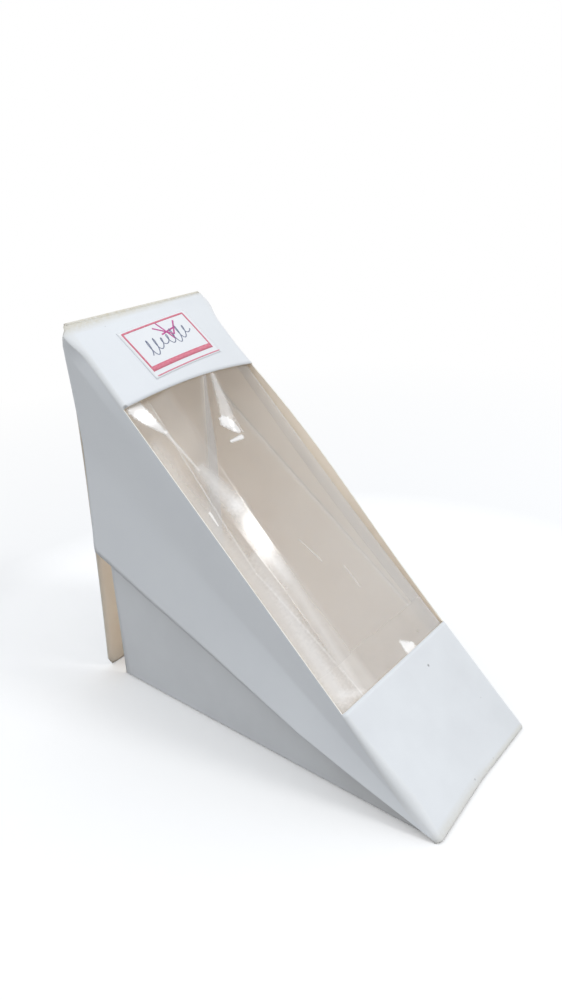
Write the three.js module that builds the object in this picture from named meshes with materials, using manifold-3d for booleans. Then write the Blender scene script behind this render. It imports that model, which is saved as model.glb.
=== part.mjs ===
// Sandwich wedge pack: a folded white carton with a sloping film window from fold to fold,
// its back lid hanging ajar from the top crease, the clear film and a small paper label.
//
// Millimetres. X runs across the width, -Y is the low front tip, +Y the tall back and +Z is up.
// The origin is the middle of the base's underside. Places on the sloping front are given as
// x across, s down the slope from the top crease, and depth inward from the middle of the board.

import * as THREE from 'three';
import { mergeVertices } from 'three/addons/utils/BufferGeometryUtils.js';
import Module from 'manifold-3d';

const wasm = await Module();
wasm.setup();

// Driving dimensions of the carton
const packWidth = 54;
const packDepth = 123;
const packHeight = 123;
const boardThickness = 0.4;
const sideFoldRadius = 1.1;
const tipFoldSoftening = 1.4;
const baseFoldRadius = 0.8;
const tipCreaseRadius = 0.9;

// The window and the strip of front panel above it, which bows outward
const windowDrop = 31;
const windowLength = 103;
const windowArch = 0.7;
const windowEdgeDepth = 0.8;
const windowEdgeBow = 1.2;
const windowEdgeSkew = 0.65;
const upperPanelBow = 2.4;

// The outer side flaps, folded down from the front panel
const outerFlapCutHeight = 50.5;
const outerFlapBow = 3.1;
const outerFlapCurl = 1.2;
const outerFlapTrim = 3.5;
const outerFlapFreeRun = 41;
const leftCornerFlare = 2.4;
const rightCornerFlare = 1.1;
const cornerFlareDrop = 4.5;
const cornerFlareReach = 5;

// The inner side flaps, folded up from the base, and their glue
const innerFlapHeight = 98;
const innerFlapSetback = 0.5;
const innerFlapTipDrop = 2.5;
const flapSpacing = 0.4;
const glueBandHeight = 4;
const glueBandLength = 46;
const glueBite = 0.1;

// The back lid
const lidSwing = THREE.MathUtils.degToRad(3.67);
const lidClearance = 0.3;
const lidHingeGap = 0.8;
const lidBow = 1;
const lidFloorGap = 0.7;
const lidCornerCut = 1.5;
const lidCornerCutLength = 3;

// The film
const filmThickness = 0.15;
const filmClearance = 0.12;
const filmTuck = 8;
const filmSideStrip = 8;
const filmShoulderWidth = 9.5;
const filmShoulderDrop = 4.2;
const filmEndDrop = 1.5;

// The label
const labelWidth = 29.6;
const labelLength = 18.6;
const labelThickness = 0.12;
const labelClearance = 0.06;
const labelAboveWindow = 14.7;
const labelDrop = windowDrop - labelAboveWindow;
const labelOffset = 2.4;
const labelTurn = THREE.MathUtils.degToRad(4.5);

// How finely each sheet is divided
const foldSteps = 4;
const flapSteps = 6;
const panelSteps = 12;
const creaseSteps = 5;
const upperRows = 7;
const windowRows = 9;
const tipRows = 5;
const baseRows = 7;
const lidRows = 12;
const lidColumns = 4;
const filmRows = 16;
const crownSteps = 8;
const shoulderSteps = 6;
const stripSteps = 2;
const labelRows = 5;
const labelColumns = 8;
const closestRows = 0.4;
const shortFlapBend = 0.8;

// Lines in the side view, as (y, z)
const halfWidth = packWidth / 2;
const tipY = -packDepth / 2;
const backEdgeY = packDepth / 2 - lidClearance;
const topCrease = new THREE.Vector2(packDepth / 2, packHeight - boardThickness / 2);
const tipCentre = new THREE.Vector2(
  tipY + boardThickness / 2 + tipCreaseRadius,
  boardThickness / 2 + tipCreaseRadius,
);
const tipToTop = topCrease.clone().sub(tipCentre);
const slopeLength = Math.sqrt(tipToTop.lengthSq() - tipCreaseRadius ** 2);
const outwardAngle = tipToTop.angle() + Math.acos(tipCreaseRadius / tipToTop.length());
const inward = new THREE.Vector2(-Math.cos(outwardAngle), -Math.sin(outwardAngle));
const downSlope = tipCentre.clone().addScaledVector(inward, -tipCreaseRadius).sub(topCrease).normalize();
const windowEnd = windowDrop + windowLength;

// Point on the sloping front
function frontPoint(x, s, depth) {
  const place = topCrease.clone().addScaledVector(downSlope, s).addScaledVector(inward, depth);
  return new THREE.Vector3(x, place.x, place.y);
}

// Outward bow of the front panel: full at the window's top edge, gone at the creases
function frontBow(x, s) {
  const across = THREE.MathUtils.clamp(x / (halfWidth - sideFoldRadius), -1, 1);
  const fade = THREE.MathUtils.clamp((s - windowDrop) / (windowLength / 2), 0, 1);
  const rise = s < windowDrop ? Math.sin((Math.PI / 2) * (s / windowDrop)) : 0.5 + 0.5 * Math.cos(Math.PI * fade);
  return upperPanelBow * rise * (1 - across ** 2);
}

// Radius of the side folds: crisp above, softer toward the tip
function sideFold(s) {
  const past = THREE.MathUtils.clamp((s - windowEnd) / (slopeLength - windowEnd), 0, 1);
  return sideFoldRadius + tipFoldSoftening * past;
}

// How far an outer flap reaches inward from the front at s: to the back edge, or to its long cut
const cutRatio = outerFlapCutHeight / packDepth;
function reachToBack(s) {
  return (backEdgeY - frontPoint(0, s, 0).y) / inward.x;
}
function reachToCut(s) {
  const start = frontPoint(0, s, 0);
  return (start.z - cutRatio * (start.y - tipY)) / (cutRatio * inward.x - inward.y);
}
function outerFlapReach(s) {
  return s < outerFlapTrim ? boardThickness : Math.min(reachToBack(s), reachToCut(s));
}
const startDifference = reachToCut(0) - reachToBack(0);
const flapCornerDrop = startDifference / (startDifference - reachToCut(1) + reachToBack(1));

// Sideways spread of an outer flap. Its share of the height runs from 1 at the front fold down
// to the free cut edge, and the part under the glue band bows away from the inner flap.
const glueShare = (innerFlapHeight - innerFlapTipDrop - 2 * glueBandHeight) / packHeight;
const freeShare = outerFlapCutHeight / packHeight;
function flapSpread(side, s, depth) {
  const place = frontPoint(0, s, depth);
  const run = Math.max(place.y - tipY, 1);
  const share = (place.z / packHeight) / (run / packDepth);
  const loose = THREE.MathUtils.clamp((glueShare - share) / (glueShare - freeShare), 0, 1);
  const fromTip = THREE.MathUtils.clamp(run / outerFlapFreeRun, 0, 1);
  const cornerFlare = side < 0 ? leftCornerFlare : rightCornerFlare;
  const flare = cornerFlare * Math.exp(-(((s - cornerFlareDrop) / cornerFlareReach) ** 2));
  return outerFlapBow * fromTip * loose ** outerFlapCurl + flare + edgeBow(side, s, depth);
}

// The right-hand flap's bare window edge waves outward, most of all in its upper half
function edgeBow(side, s, depth) {
  const along = THREE.MathUtils.clamp((s - windowDrop + filmTuck) / (windowLength + filmTuck), 0, 1);
  const wave = Math.sin(Math.PI * along) + windowEdgeSkew * Math.sin(2 * Math.PI * along);
  const near = THREE.MathUtils.clamp(1 - depth / filmSideStrip, 0, 1);
  return side > 0 ? windowEdgeBow * wave * near ** 2 : 0;
}

function spaced(from, to, count) {
  return Array.from({ length: count + 1 }, (_, index) => from + ((to - from) * index) / count);
}

// Sorted places with any that nearly coincide left out
function mergedPlaces(...lists) {
  const sorted = lists.flat().sort((a, b) => a - b);
  return sorted.filter((value, index) => index === 0 || value - sorted[index - 1] > closestRows);
}

// A closed sheet of even thickness about a grid of points, rows of equal length
function sheetGeometry(rows, thickness) {
  const rowCount = rows.length;
  const columnCount = rows[0].length;
  const normals = rows.map((row) => row.map(() => new THREE.Vector3()));
  for (let i = 0; i + 1 < rowCount; i += 1) {
    for (let j = 0; j + 1 < columnCount; j += 1) {
      const rising = rows[i + 1][j + 1].clone().sub(rows[i][j]);
      const falling = rows[i + 1][j].clone().sub(rows[i][j + 1]);
      const faceNormal = rising.cross(falling).normalize();
      [[i, j], [i, j + 1], [i + 1, j], [i + 1, j + 1]].forEach(([a, b]) => normals[a][b].add(faceNormal));
    }
  }
  const positions = [];
  [1, -1].forEach((face) => {
    rows.forEach((row, i) => {
      row.forEach((point, j) => {
        const offset = normals[i][j].clone().normalize().multiplyScalar((face * thickness) / 2);
        positions.push(...point.clone().add(offset).toArray());
      });
    });
  });
  const indices = [];
  const at = (face, i, j) => face * rowCount * columnCount + i * columnCount + j;
  const quad = (a, b, c, d) => indices.push(a, b, c, a, c, d);
  for (let i = 0; i + 1 < rowCount; i += 1) {
    for (let j = 0; j + 1 < columnCount; j += 1) {
      quad(at(0, i, j), at(0, i, j + 1), at(0, i + 1, j + 1), at(0, i + 1, j));
      quad(at(1, i, j), at(1, i + 1, j), at(1, i + 1, j + 1), at(1, i, j + 1));
    }
  }
  const lastRow = rowCount - 1;
  const lastColumn = columnCount - 1;
  for (let j = 0; j < lastColumn; j += 1) {
    quad(at(0, 0, j), at(1, 0, j), at(1, 0, j + 1), at(0, 0, j + 1));
    quad(at(0, lastRow, j + 1), at(1, lastRow, j + 1), at(1, lastRow, j), at(0, lastRow, j));
  }
  for (let i = 0; i < lastRow; i += 1) {
    quad(at(0, i + 1, 0), at(1, i + 1, 0), at(1, i, 0), at(0, i, 0));
    quad(at(0, i, lastColumn), at(1, i, lastColumn), at(1, i + 1, lastColumn), at(0, i + 1, lastColumn));
  }
  const geometry = new THREE.BufferGeometry();
  geometry.setAttribute('position', new THREE.Float32BufferAttribute(positions, 3));
  geometry.setIndex(indices);
  return geometry;
}

function toSolid(geometry) {
  const bare = geometry.clone();
  bare.deleteAttribute('normal');
  bare.deleteAttribute('uv');
  const merged = mergeVertices(bare, 1e-4);
  const vertProperties = new Float32Array(merged.attributes.position.array);
  const triVerts = new Uint32Array(merged.index.array);
  return new wasm.Manifold(new wasm.Mesh({ numProp: 3, vertProperties, triVerts }));
}

function toGeometry(solid) {
  const mesh = solid.getMesh();
  const geometry = new THREE.BufferGeometry();
  geometry.setAttribute('position', new THREE.BufferAttribute(mesh.vertProperties, 3));
  geometry.setIndex(new THREE.BufferAttribute(mesh.triVerts, 1));
  return geometry;
}

// The carton's folded sheet. Each row crosses it from one flap's free edge to the other's: down
// the front from the top crease, round the tip crease, and back along the base.
function cartonRows() {
  const frontDrops = mergedPlaces(
    [lidHingeGap, outerFlapTrim - 1, outerFlapTrim + 1, flapCornerDrop],
    spaced(outerFlapTrim + 1, windowDrop, upperRows),
    spaced(windowDrop, windowEnd, windowRows),
    spaced(windowEnd, slopeLength, tipRows),
  );
  const rows = frontDrops.map((s) => ({
    at: (x, depth) => frontPoint(x, s, depth),
    half: halfWidth,
    radius: sideFold(s),
    reach: outerFlapReach(s),
    bow: (x) => frontBow(x, s),
    spread: (side, depth) => flapSpread(side, s, depth),
  }));
  const flat = () => 0;
  const baseHalf = halfWidth - boardThickness - flapSpacing;
  spaced(0, 1, creaseSteps).slice(1).forEach((turn) => {
    const angle = THREE.MathUtils.lerp(outwardAngle, 1.5 * Math.PI, turn);
    rows.push({
      at: (x, depth) => new THREE.Vector3(
        x,
        tipCentre.x + Math.cos(angle) * (tipCreaseRadius - depth),
        tipCentre.y + Math.sin(angle) * (tipCreaseRadius - depth),
      ),
      half: THREE.MathUtils.lerp(halfWidth, baseHalf, turn),
      radius: THREE.MathUtils.lerp(sideFold(slopeLength), baseFoldRadius, turn),
      reach: boardThickness / 2,
      bow: flat,
      spread: flat,
    });
  });
  const flapBack = backEdgeY - innerFlapSetback;
  const basePlaces = [
    ...spaced(tipCentre.x + innerFlapTipDrop, flapBack, baseRows),
    backEdgeY,
  ];
  basePlaces.forEach((y) => {
    const flapTop = innerFlapHeight * ((y - tipY) / packDepth) - innerFlapTipDrop;
    rows.push({
      at: (x, depth) => new THREE.Vector3(x, y, boardThickness / 2 + depth),
      half: baseHalf,
      radius: baseFoldRadius,
      reach: y > flapBack ? boardThickness : Math.max(flapTop, boardThickness),
      bow: flat,
      spread: flat,
    });
  });
  return rows;
}

// One side of a row: round the fold, then straight down the flap, in even steps
function sidePoints(row, side) {
  const quarter = (row.radius * Math.PI) / 2;
  const whole = row.reach < row.radius
    ? row.radius * Math.acos(1 - row.reach / row.radius)
    : quarter + row.reach - row.radius;
  const bend = Math.min(quarter, shortFlapBend * whole);
  const lengths = [...spaced(0, bend, foldSteps).slice(1), ...spaced(bend, whole, flapSteps).slice(1)];
  return lengths.map((length) => {
    const turn = Math.min(length / row.radius, Math.PI / 2);
    const depth = row.radius * (1 - Math.cos(turn)) + Math.max(length - quarter, 0);
    const out = row.half - row.radius + row.radius * Math.sin(turn);
    const eased = row.spread(side, depth) * Math.sin(turn);
    return row.at(side * (out + eased), depth);
  });
}

function cartonSheet() {
  const rows = cartonRows().map((row) => {
    const edge = row.half - row.radius;
    const panel = spaced(-edge, edge, panelSteps).map((x) => row.at(x, -row.bow(x)));
    return [...sidePoints(row, -1).reverse(), ...panel, ...sidePoints(row, 1)];
  });
  return sheetGeometry(rows, boardThickness);
}

// The window's cutter: straight at the foot, arched at the top, as wide as the whole front
function windowCutter() {
  const side = halfWidth + sideFoldRadius + windowEdgeBow;
  const lift = upperPanelBow + sideFoldRadius;
  const outline = new THREE.Shape();
  outline.moveTo(-side, windowEnd);
  outline.lineTo(-side, windowDrop);
  outline.lineTo(-halfWidth, windowDrop);
  outline.quadraticCurveTo(0, windowDrop - 2 * windowArch, halfWidth, windowDrop);
  outline.lineTo(side, windowDrop);
  outline.lineTo(side, windowEnd);
  const cutter = new THREE.ExtrudeGeometry(outline, {
    depth: lift + windowEdgeDepth,
    bevelEnabled: false,
    curveSegments: panelSteps,
  });
  const start = frontPoint(0, 0, -lift);
  const placed = new THREE.Matrix4().makeBasis(
    new THREE.Vector3(1, 0, 0),
    new THREE.Vector3(0, downSlope.x, downSlope.y),
    new THREE.Vector3(0, inward.x, inward.y),
  );
  placed.setPosition(start);
  return cutter.applyMatrix4(placed);
}

// A thin band of glue that joins an inner flap to the outer one over it
function glueBand(side) {
  const slope = innerFlapHeight / packDepth;
  const back = backEdgeY - innerFlapSetback - glueBandHeight;
  const front = back - glueBandLength;
  const top = (y) => slope * (y - tipY) - innerFlapTipDrop - boardThickness;
  const outline = new THREE.Shape([
    new THREE.Vector2(front, top(front) - glueBandHeight),
    new THREE.Vector2(back, top(back) - glueBandHeight),
    new THREE.Vector2(back, top(back)),
    new THREE.Vector2(front, top(front)),
  ]);
  const band = new THREE.ExtrudeGeometry(outline, { depth: flapSpacing + 2 * glueBite, bevelEnabled: false });
  const inner = halfWidth - boardThickness / 2 - flapSpacing - glueBite;
  const outer = halfWidth - boardThickness / 2 + glueBite;
  const placed = new THREE.Matrix4().makeBasis(
    new THREE.Vector3(0, 1, 0),
    new THREE.Vector3(0, 0, 1),
    new THREE.Vector3(1, 0, 0),
  );
  placed.setPosition(side > 0 ? inner : -outer, 0, 0);
  return band.applyMatrix4(placed);
}

function cartonGeometry() {
  let solid = toSolid(cartonSheet()).subtract(toSolid(windowCutter()));
  [-1, 1].forEach((side) => {
    solid = solid.add(toSolid(glueBand(side)));
  });
  return toGeometry(solid);
}

// The back lid, hung from the top crease and swung out at the foot, with its lower corners cut
const hinge = new THREE.Vector2(packDepth / 2 + boardThickness / 2, topCrease.y);
function lidGeometry() {
  const lidLength = (hinge.y - lidFloorGap) / Math.cos(lidSwing);
  const cutStart = lidLength - lidCornerCutLength;
  const places = [...spaced(lidHingeGap, cutStart, lidRows), lidLength];
  const rows = places.map((along) => {
    const half = halfWidth - (lidCornerCut * Math.max(along - cutStart, 0)) / lidCornerCutLength;
    const bow = -lidBow * Math.sin((Math.PI * along) / lidLength);
    const y = hinge.x + along * Math.sin(lidSwing) + bow * Math.cos(lidSwing);
    const z = hinge.y - along * Math.cos(lidSwing) + bow * Math.sin(lidSwing);
    return spaced(-half, half, lidColumns).map((x) => new THREE.Vector3(x, y, z));
  });
  return sheetGeometry(rows, boardThickness);
}

// The film: tucked under the card above and below the window, its sides bent down inside the
// outer flaps with wide soft shoulders
function filmGeometry() {
  const start = windowDrop - filmTuck;
  const end = windowEnd + filmTuck;
  const layer = boardThickness / 2 + filmClearance + filmThickness / 2;
  const half = halfWidth - layer;
  const rows = spaced(start, end, filmRows).map((s) => {
    const open = Math.sin(Math.PI * THREE.MathUtils.clamp((s - windowDrop) / windowLength, 0, 1));
    const drop = THREE.MathUtils.lerp(filmEndDrop, filmShoulderDrop, open);
    const place = (x, depth) => frontPoint(x, s, layer + depth - frontBow(x, s));
    const side = (sign) => [
      ...spaced(0, 1, shoulderSteps).slice(1).map((share) => {
        const turn = (share * Math.PI) / 2;
        const x = half - filmShoulderWidth * (1 - Math.sin(turn));
        return place(sign * x, drop * (1 - Math.cos(turn)));
      }),
      ...spaced(drop, drop + filmSideStrip - filmEndDrop, stripSteps).slice(1).map((depth) => place(sign * half, depth)),
    ];
    const crown = spaced(filmShoulderWidth - half, half - filmShoulderWidth, crownSteps).map((x) => place(x, 0));
    return [...side(-1).reverse(), ...crown, ...side(1)];
  });
  return sheetGeometry(rows, filmThickness);
}

// The label, lying on the bowed strip above the window and turned a little
function labelGeometry() {
  const layer = boardThickness / 2 + labelClearance + labelThickness / 2;
  const rows = spaced(-labelLength / 2, labelLength / 2, labelRows).map((down) => (
    spaced(-labelWidth / 2, labelWidth / 2, labelColumns).map((across) => {
      const x = labelOffset + across * Math.cos(labelTurn) + down * Math.sin(labelTurn);
      const s = labelDrop - across * Math.sin(labelTurn) + down * Math.cos(labelTurn);
      return frontPoint(x, s, -layer - frontBow(x, s));
    })
  ));
  return sheetGeometry(rows, labelThickness);
}

function part(name, geometry, color, roughness, extra = {}) {
  const material = new THREE.MeshStandardMaterial({ color, roughness, metalness: 0, ...extra });
  const mesh = new THREE.Mesh(geometry, material);
  mesh.name = name;
  return mesh;
}

const sandwichPack = new THREE.Group();
sandwichPack.add(part('carton', cartonGeometry(), '#e6e9ec', 0.6));
sandwichPack.add(part('back_lid', lidGeometry(), '#e2e4e6', 0.62));
sandwichPack.add(part('window_film', filmGeometry(), '#f2f2f0', 0.12, { transparent: true, opacity: 0.3 }));
sandwichPack.add(part('price_label', labelGeometry(), '#f4f0f2', 0.55));

export default sandwichPack;
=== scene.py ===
import bpy
import math
from mathutils import Matrix, Vector, noise


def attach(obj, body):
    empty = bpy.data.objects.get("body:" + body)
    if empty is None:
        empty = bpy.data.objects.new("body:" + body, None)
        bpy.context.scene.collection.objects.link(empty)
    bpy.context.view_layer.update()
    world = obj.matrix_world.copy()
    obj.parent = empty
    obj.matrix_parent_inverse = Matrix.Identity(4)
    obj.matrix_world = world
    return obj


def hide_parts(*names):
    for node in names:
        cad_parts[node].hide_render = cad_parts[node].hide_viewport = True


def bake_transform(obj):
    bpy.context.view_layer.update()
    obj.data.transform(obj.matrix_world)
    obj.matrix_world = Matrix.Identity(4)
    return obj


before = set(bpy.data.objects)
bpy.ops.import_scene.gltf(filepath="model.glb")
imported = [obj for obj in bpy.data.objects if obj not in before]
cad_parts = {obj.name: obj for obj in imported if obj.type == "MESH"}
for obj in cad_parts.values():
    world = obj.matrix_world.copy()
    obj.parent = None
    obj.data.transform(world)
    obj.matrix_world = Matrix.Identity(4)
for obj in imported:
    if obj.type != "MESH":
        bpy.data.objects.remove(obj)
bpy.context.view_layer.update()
mm = 0.001

# The pack's own shape, in millimetres: x across, s down the slope from the top crease, depth inward
pack = {
    "width": 54, "depth": 123, "height": 123, "board": 0.4,
    "sideFold": 1.1, "leftTipSoftening": 3.2, "rightTipSoftening": 0.3, "softeningCurve": 1.3,
    "tightening": 0.8, "tightenFrom": 0.66, "tightenRun": 0.34, "baseFold": 0.8, "tipCrease": 0.5,
    "windowDrop": 31, "windowLength": 103, "windowArch": 0.7, "windowEdgeDepth": 0.8,
    "windowEdgeBow": 2.5, "windowEdgeSkew": 0.38, "windowEdgeLead": 8, "edgeBowDepth": 8, "upperBow": 2.4,
    "flapCutHeight": 50.5, "flapBow": 3.1, "flapCurl": 1.2, "flapFreeRun": 41,
    "flapTrim": 2.5, "flapTrimRun": 1.6, "tipReach": 1.2, "tipReachRun": 14,
    "leftFlare": 2.3, "rightFlare": 1.9, "flareDrop": 4.5, "flareReach": 5, "flareDepth": 5,
    "leftBackFlare": 1.7, "backFlareRise": 3, "backFlareHold": 7, "backFlareFade": 22,
    "innerHeight": 98, "innerSetback": 0.5, "innerTipDrop": 2.5, "flapSpacing": 0.4, "glueBand": 4,
    "lidClearance": 0.3, "ripple": 0.22, "rippleScale": 24,
}
halfWidth = pack["width"] / 2
tipY = -pack["depth"] / 2
backEdgeY = pack["depth"] / 2 - pack["lidClearance"]
topCrease = Vector((pack["depth"] / 2, pack["height"] - pack["board"] / 2))
tipCentre = Vector((tipY + pack["board"] / 2 + pack["tipCrease"], pack["board"] / 2 + pack["tipCrease"]))
tipToTop = topCrease - tipCentre
slopeLength = math.sqrt(tipToTop.length_squared - pack["tipCrease"] ** 2)
outwardAngle = math.atan2(tipToTop.y, tipToTop.x) + math.acos(pack["tipCrease"] / tipToTop.length)
inward = Vector((-math.cos(outwardAngle), -math.sin(outwardAngle)))
downSlope = (tipCentre - inward * pack["tipCrease"] - topCrease).normalized()
windowEnd = pack["windowDrop"] + pack["windowLength"]
baseHalf = halfWidth - pack["board"] - pack["flapSpacing"]


def clamp(value, low=0.0, high=1.0):
    return max(low, min(high, value))


def smooth(value):
    value = clamp(value)
    return value * value * (3 - 2 * value)


def lerp(a, b, share):
    return a + (b - a) * share


def bump(value, centre, reach):
    return math.exp(-(((value - centre) / reach) ** 2))


def spaced(start, end, count):
    return [start + (end - start) * i / count for i in range(count + 1)]


def frontPoint(x, s, depth=0.0):
    place = topCrease + downSlope * s + inward * depth
    return Vector((x, place.x, place.y))


def scaled(point):
    return tuple(value * mm for value in point)


def frontBow(x, s):
    across = clamp(x / (halfWidth - pack["sideFold"]), -1, 1)
    if s < pack["windowDrop"]:
        rise = math.sin(math.pi / 2 * s / pack["windowDrop"])
    else:
        rise = 0.5 + 0.5 * math.cos(math.pi * clamp((s - pack["windowDrop"]) / (pack["windowLength"] / 2)))
    return pack["upperBow"] * rise * (1 - across ** 2)


def windowTop(x):
    across = clamp(x / halfWidth, -1, 1)
    return pack["windowDrop"] - pack["windowArch"] * (1 - across ** 2)


# Radius of a side fold: it softens below the window and tightens again at the tip
def sideFold(s, side):
    past = clamp((s - windowEnd) / (slopeLength - windowEnd))
    softening = pack["leftTipSoftening" if side < 0 else "rightTipSoftening"] * past ** pack["softeningCurve"]
    tightened = pack["tightening"] * smooth((past - pack["tightenFrom"]) / pack["tightenRun"])
    return pack["sideFold"] + softening * (1 - tightened)


# How far an outer flap reaches inward from the front: to the back edge or to its slanted lower cut
def outerReach(s):
    start = frontPoint(0, s)
    cut = pack["flapCutHeight"] / pack["depth"]
    toBack = (backEdgeY - start.y) / inward.x
    toCut = (start.z - cut * (start.y - tipY)) / (cut * inward.x - inward.y)
    ramp = clamp((s - pack["flapTrim"]) / pack["flapTrimRun"])
    least = pack["board"] + pack["tipReach"] * smooth(1 - (slopeLength - s) / pack["tipReachRun"])
    return lerp(pack["board"], max(min(toBack, toCut), least), ramp)


# How far an outer flap stands out: its loose lower edge, the flared top corner, the window's bowed right edge
def flapSpread(side, s, depth):
    place = frontPoint(0, s, depth)
    run = max(place.y - tipY, 1)
    share = (place.z / pack["height"]) / (run / pack["depth"])
    glued = (pack["innerHeight"] - pack["innerTipDrop"] - 2 * pack["glueBand"]) / pack["height"]
    loose = clamp((glued - share) / (glued - pack["flapCutHeight"] / pack["height"]))
    lower = pack["flapBow"] * clamp(run / pack["flapFreeRun"]) * loose ** pack["flapCurl"]
    flareHeight = pack["leftFlare" if side < 0 else "rightFlare"]
    flare = flareHeight * bump(s, pack["flareDrop"], pack["flareReach"])
    if side < 0:
        backFlare = pack["leftBackFlare"] * smooth(s / pack["backFlareRise"])
        backFlare *= math.exp(-max(s - pack["backFlareHold"], 0) / pack["backFlareFade"])
        return lower + lerp(flare, backFlare, clamp(depth / pack["flareDepth"]))
    lead = pack["windowEdgeLead"]
    along = clamp((s - pack["windowDrop"] + lead) / (pack["windowLength"] + lead))
    wave = math.sin(math.pi * along) + pack["windowEdgeSkew"] * math.sin(2 * math.pi * along)
    near = clamp(1 - depth / pack["edgeBowDepth"]) ** 2
    return lower + flare + pack["windowEdgeBow"] * wave * near


# Faint unevenness of the board, so that no panel is a perfect plane
def boardRipple(point, scale):
    return pack["ripple"] * noise.noise(Vector(point) / scale)


# Material slots of a sheet: 0 outside, 1 inside, 2 the cut edges
cutSlot = 2


def addObject(name, data):
    added = bpy.data.objects.new(name, data)
    bpy.context.scene.collection.objects.link(added)
    return added


def makeMesh(name, points, faces, slots):
    mesh = bpy.data.meshes.new(name)
    mesh.from_pydata([point * mm for point in points], [], faces)
    mesh.validate()
    for face, slot in zip(mesh.polygons, slots):
        face.material_index = slot
        face.use_smooth = slot != cutSlot
    return addObject(name, mesh)


# A closed sheet about a surface of quads, with values for each point as attributes
def thicken(name, points, faces, thickness, extra=None):
    normals = [Vector((0, 0, 0)) for point in points]
    for face in faces:
        corner = [points[i] for i in face]
        faceNormal = (corner[2] - corner[0]).cross(corner[3] - corner[1])
        if faceNormal.length > 1e-12:
            faceNormal.normalize()
        for i in face:
            normals[i] += faceNormal
    count = len(points)
    outer = [p + n.normalized() * thickness / 2 for p, n in zip(points, normals)]
    inner = [p - n.normalized() * thickness / 2 for p, n in zip(points, normals)]
    allFaces = [tuple(face) for face in faces] + [tuple(i + count for i in reversed(face)) for face in faces]
    slots = [0] * len(faces) + [1] * len(faces)
    edges = [edge for face in faces for edge in zip(face, face[1:] + face[:1])]
    known = set(edges)
    for a, b in edges:
        if (b, a) not in known:
            allFaces.append((b, a, a + count, b + count))
            slots.append(cutSlot)
    piece = makeMesh(name, outer + inner, allFaces, slots)
    for label, values in (extra or {}).items():
        attribute = piece.data.attributes.new(label, "FLOAT", "POINT")
        attribute.data.foreach_set("value", list(values) * 2)
    return piece


def gridFaces(rowCount, columnCount, skip=None):
    faces = []
    for i in range(rowCount - 1):
        for j in range(columnCount - 1):
            if not (skip and skip(i, j)):
                first = i * columnCount + j
                faces.append([first, first + columnCount, first + columnCount + 1, first + 1])
    return faces


def newMaterial(name):
    material = bpy.data.materials.new(name)
    material.use_nodes = True
    nodes = material.node_tree.nodes
    return material, nodes, material.node_tree.links, nodes["Principled BSDF"]


def addGroup(nodes, links, group, values, place):
    node = nodes.new("ShaderNodeGroup")
    node.node_tree = group
    for key, value in values.items():
        node.inputs[key].default_value = value
    links.new(place, node.inputs["Place"])
    return node


# A shader node group: inputs by name with their values, outputs by name with their kinds
def groupTree(name, inputs, outputs):
    tree = bpy.data.node_groups.new(name, "ShaderNodeTree")
    for label, value in inputs.items():
        kind = "Float" if isinstance(value, float) else "Color" if len(value) == 4 else "Vector"
        socket = tree.interface.new_socket(name=label, in_out="INPUT", socket_type="NodeSocket" + kind)
        socket.default_value = value
    for label, kind in outputs.items():
        tree.interface.new_socket(name=label, in_out="OUTPUT", socket_type="NodeSocket" + kind)
    return tree, tree.nodes.new("NodeGroupInput"), tree.nodes.new("NodeGroupOutput")


# A plain value is set on the socket, an output is linked to it
def feed(tree, value, socket):
    if isinstance(value, (int, float, tuple)):
        socket.default_value = value
    elif value is not None:
        tree.links.new(value, socket)


def mathNode(tree, operation, a, b=None, clampIt=False, c=None):
    node = tree.nodes.new("ShaderNodeMath")
    node.operation = operation
    node.use_clamp = clampIt
    for socket, value in zip(node.inputs, (a, b, c)):
        feed(tree, value, socket)
    return node.outputs[0]


def noiseNode(tree, place, scale, detail=3.0, roughness=0.5):
    node = tree.nodes.new("ShaderNodeTexNoise")
    node.inputs["Detail"].default_value = detail
    node.inputs["Roughness"].default_value = roughness
    tree.links.new(place, node.inputs["Vector"])
    feed(tree, scale, node.inputs["Scale"])
    return node.outputs["Fac"]


def mixColour(tree, factor, a, b):
    node = tree.nodes.new("ShaderNodeMix")
    node.data_type = "RGBA"
    for index, value in ((0, factor), (6, a), (7, b)):
        feed(tree, value, node.inputs[index])
    return node.outputs[2]


def rampRange(tree, value, low, high):
    node = tree.nodes.new("ShaderNodeMapRange")
    node.inputs["From Min"].default_value = low
    node.inputs["From Max"].default_value = high
    tree.links.new(value, node.inputs["Value"])
    return node.outputs["Result"]


def srgb(red, green, blue):
    def linear(channel):
        channel /= 255
        return channel / 12.92 if channel <= 0.04045 else ((channel + 0.055) / 1.055) ** 2.4
    return (linear(red), linear(green), linear(blue), 1.0)


# Board and paper: cloudy patches of a second colour, fine fibres, painted shade, and wear where the sheet is
# folded
paper = {
    "patchLow": 0.35, "patchHigh": 0.7, "fibreStretch": (1.0, 0.35, 0.35), "fibreLow": 0.62, "fibreHigh": 0.8,
    "evenShade": 0.8, "patchyShade": 0.4, "wearScale": 900.0, "wearGain": 1.5, "wearFloor": 0.05,
    "patchRoughness": 0.06, "wornRoughness": 0.2, "wornHeight": 0.6, "bumpDepth": 0.00006,
}


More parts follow.
